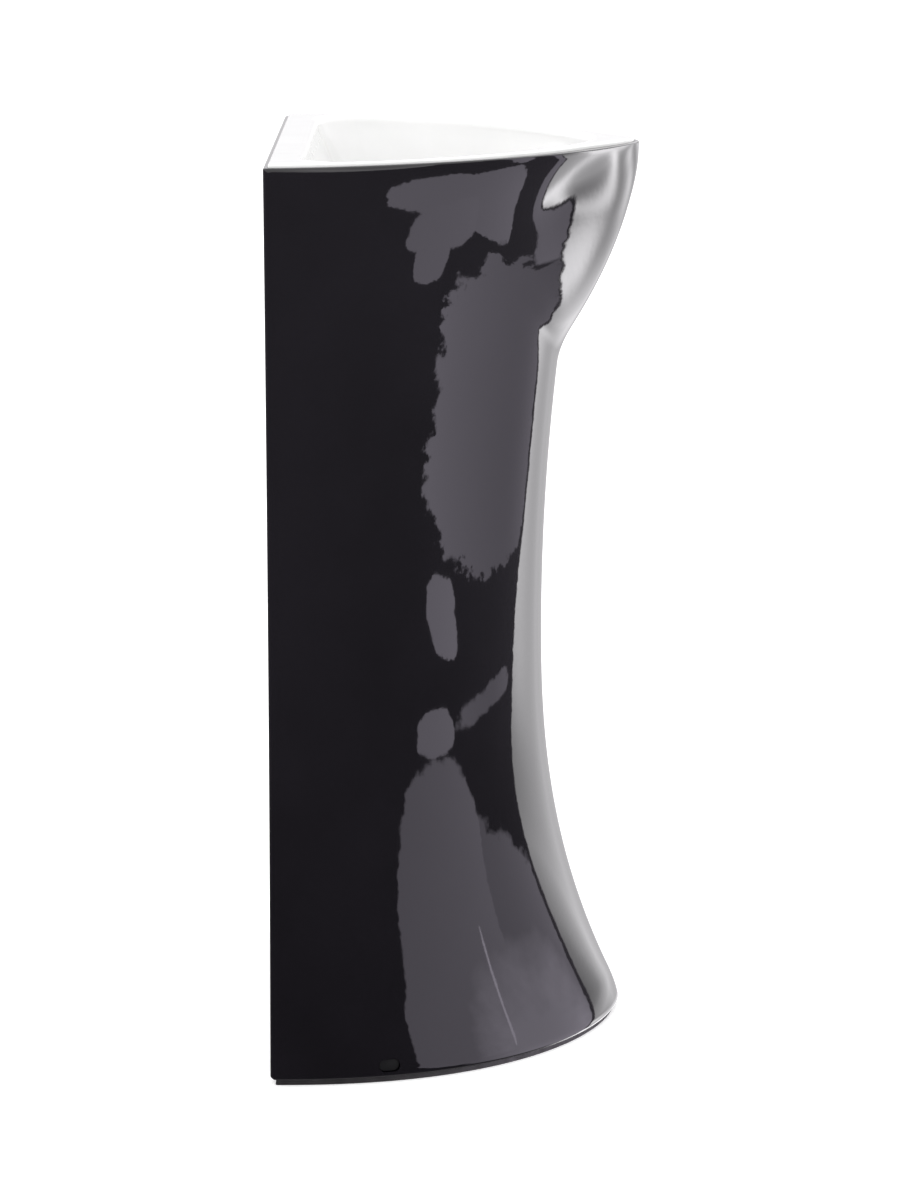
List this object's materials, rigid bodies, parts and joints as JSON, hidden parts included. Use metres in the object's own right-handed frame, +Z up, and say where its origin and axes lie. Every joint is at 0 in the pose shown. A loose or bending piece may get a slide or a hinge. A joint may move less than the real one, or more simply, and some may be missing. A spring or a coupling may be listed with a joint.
{
  "type": "pedestal sink",
  "caption": "Back-to-wall pedestal sink: a tall hollow black glazed casing with a flared foot and a pointed prow under a white basin, with push plug, bottle trap and floor brackets.",
  "frame": {"origin": "on the floor, under the middle of the bounding box", "axes": "+Z up, +Y towards the wall behind, -Y towards the user at the pointed front, +X to the side; the sink is mirror-symmetric in X"},
  "size_m": [0.5418, 0.345, 0.85],
  "materials": {
    "black_glaze": "deep gloss black glaze",
    "white_glaze": "gloss white glaze",
    "white_sealant": "satin white sealant",
    "grey_seal": "matt grey strip",
    "chrome": "polished chrome plate",
    "black_rubber": "matt black rubber",
    "nylon": "natural nylon",
    "zinc_steel": "zinc-plated steel",
    "black_cap": "black plastic"
  },
  "bodies": {
    "sink": {"pedestal_casing": "black_glaze", "basin": "white_glaze", "rim_sealant": "white_sealant", "floor_seal": "grey_seal", "waste_body": "chrome", "waste_backnut": "chrome", "waste_crosspiece": "chrome", "dip_tube": "chrome", "trap_inlet_nut": "chrome", "trap_body": "chrome", "trap_neck_nut": "chrome", "trap_cup": "chrome", "waste_arm": "chrome", "outlet_nut": "chrome", "wall_cover_plate": "chrome", "waste_top_washer": "black_rubber", "waste_cone_washer": "black_rubber", "trap_inlet_washer": "black_rubber", "trap_neck_washer": "black_rubber", "trap_cup_seal": "black_rubber", "outlet_washer": "black_rubber", "plug_cartridge": "nylon", "bracket_nut_left": "nylon", "bracket_nut_right": "nylon", "floor_bracket_left": "zinc_steel", "floor_bracket_right": "zinc_steel", "floor_screw_left_1": "zinc_steel", "floor_screw_left_2": "zinc_steel", "floor_screw_right_1": "zinc_steel", "floor_screw_right_2": "zinc_steel", "side_screw_left": "zinc_steel", "side_screw_right": "zinc_steel", "side_cap_left": "black_cap", "side_cap_right": "black_cap"},
    "plug": {"plug_cap": "chrome", "plug_seal": "black_rubber"}
  },
  "joints": [
    {"name": "plug_lift", "type": "slide", "parent": "sink", "child": "plug", "axis": [0, 0, 1], "range_m": [0, 0.008]}
  ]
}
